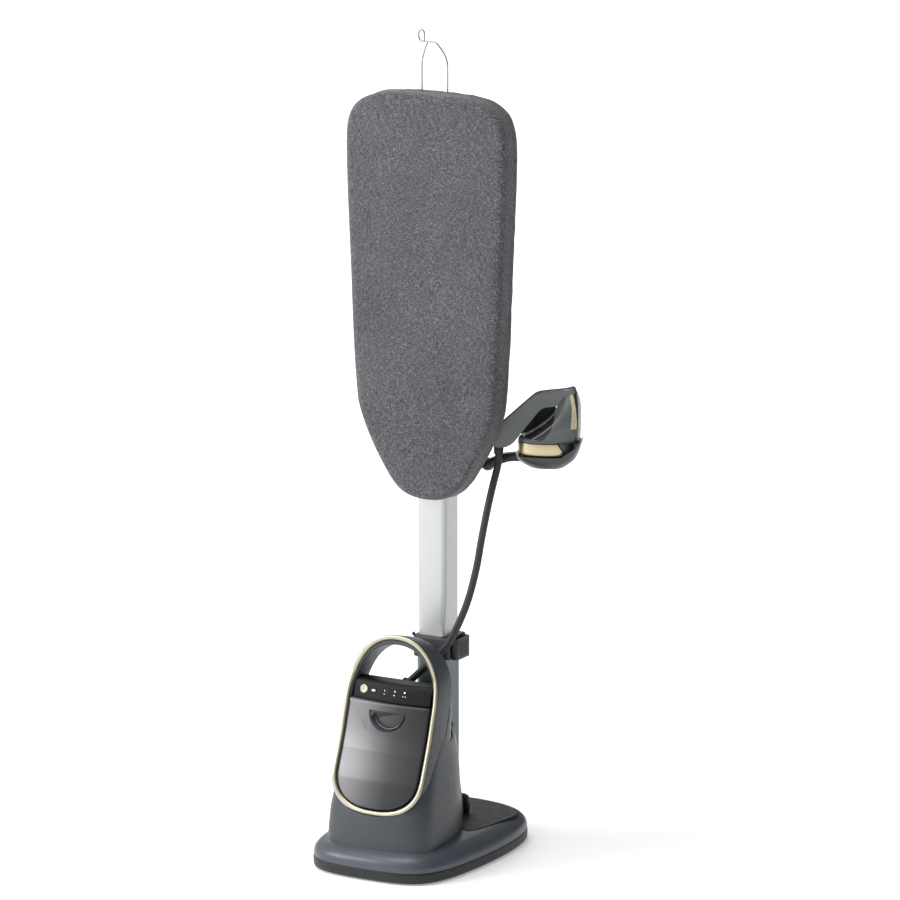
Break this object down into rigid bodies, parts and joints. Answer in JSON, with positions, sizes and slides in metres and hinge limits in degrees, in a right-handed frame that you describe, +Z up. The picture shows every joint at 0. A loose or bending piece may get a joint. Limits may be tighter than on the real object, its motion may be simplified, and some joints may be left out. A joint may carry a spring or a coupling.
{
  "type": "steam generator iron",
  "caption": "Standing garment ironing station: weighted base with steam housing and water tank, telescopic pole, tilting padded board, garment hook and hand iron in a side dock.",
  "frame": {"origin": "on the floor, at the centre of the middle rubber foot under the base, 278 mm behind the base's front edge", "axes": "+Z up along the pole, -Y towards the front where the tank and the board face, +X towards the side with the iron dock"},
  "size_m": [0.5283, 0.536, 1.8243],
  "materials": {
    "slate_plastic": "satin slate shell",
    "housing_plastic": "satin dark slate shell",
    "dark_plastic": "matt charcoal",
    "panel_black": "gloss black",
    "champagne": "metallised champagne gold",
    "anodised_tube": "satin anodised",
    "steel": "brushed",
    "smoked_plastic": "smoky translucent",
    "cover_fabric": "grey melange weave",
    "foam": "open foam",
    "iron_shell": "satin graphite",
    "rubber": "matt",
    "pale_key": "pale",
    "circuit_board": "solder mask"
  },
  "bodies": {
    "stand": {"base_plate": "dark_plastic", "reinforcing_plate": "steel", "foot_front_left": "rubber", "foot_front_right": "rubber", "foot_rear_left": "rubber", "foot_rear_right": "rubber", "foot_centre": "rubber", "base_cover": "slate_plastic", "rear_deck": "dark_plastic", "carry_hoop": "housing_plastic", "hoop_trim": "champagne", "housing_front": "housing_plastic", "housing_rear": "housing_plastic", "tank_bay_wall": "dark_plastic", "control_panel": "panel_black", "indicator_lens": "smoked_plastic", "control_board": "circuit_board", "boiler": "steel", "pump": "dark_plastic", "steam_valve": "steel", "tank_socket": "dark_plastic", "hose_port": "rubber", "power_inlet": "rubber", "pole_socket": "steel", "pole_outer": "anodised_tube", "collar": "dark_plastic", "pole_shoe": "dark_plastic", "hose_lower": "rubber"},
    "mast": {"pole_inner": "anodised_tube", "glide_bush": "rubber", "pole_head": "dark_plastic", "dock_arm": "dark_plastic", "dock_cup": "iron_shell", "dock_rest": "dark_plastic", "hose_upper": "rubber"},
    "board": {"board_cover": "cover_fabric", "board_pad": "foam", "board_frame": "dark_plastic", "hook_guide": "dark_plastic", "hinge_pin": "steel"},
    "hanger": {"hanger_hook": "steel"},
    "iron": {"iron_body": "iron_shell", "side_trim": "champagne", "soleplate": "steel", "heel_band": "champagne", "iron_handle": "iron_shell", "hose_boot": "rubber"},
    "trigger": {"steam_trigger": "panel_black"},
    "power_key": {"power_button": "champagne"},
    "mode_key": {"mode_button": "pale_key"},
    "clamp": {"clamp_lever": "dark_plastic"},
    "tank": {"water_tank": "smoked_plastic", "tank_grip": "smoked_plastic", "tank_valve": "rubber", "tank_lid": "smoked_plastic"}
  },
  "joints": [
    {"name": "mast_height", "type": "slide", "parent": "stand", "child": "mast", "axis": [0, 0, 1], "range_m": [-0.28, 0], "deforming": ["hose_lower"]},
    {"name": "board_tilt", "type": "hinge", "parent": "mast", "child": "board", "pos_m": [0, 0.04, 1.135], "axis": [-1, 0, 0], "range_deg": [0, 90]},
    {"name": "hanger_slide", "type": "slide", "parent": "board", "child": "hanger", "axis": [0, 0, 1], "range_m": [-0.04, 0]},
    {"name": "iron_lift", "type": "slide", "parent": "mast", "child": "iron", "axis": [0, 0, 1], "range_m": [0, 0.06], "deforming": ["hose_upper"]},
    {"name": "trigger_press", "type": "slide", "parent": "iron", "child": "trigger", "axis": [-0.6577, -0.2928, 0.694], "range_m": [0, 0.003], "stiffness_N_per_m": 300, "springref_m": -0.002},
    {"name": "power_press", "type": "slide", "parent": "stand", "child": "power_key", "axis": [0, 1, 0], "range_m": [0, 0.0015], "stiffness_N_per_m": 500, "springref_m": -0.001},
    {"name": "mode_press", "type": "slide", "parent": "stand", "child": "mode_key", "axis": [0, 1, 0], "range_m": [0, 0.0015], "stiffness_N_per_m": 300, "springref_m": -0.001},
    {"name": "clamp_turn", "type": "hinge", "parent": "stand", "child": "clamp", "pos_m": [0.0596, 0.031, 0.458], "axis": [0, 0, -1], "range_deg": [0, 80]},
    {"name": "tank_pull", "type": "slide", "parent": "stand", "child": "tank", "axis": [0, -1, 0], "range_m": [0, 0.13]}
  ]
}
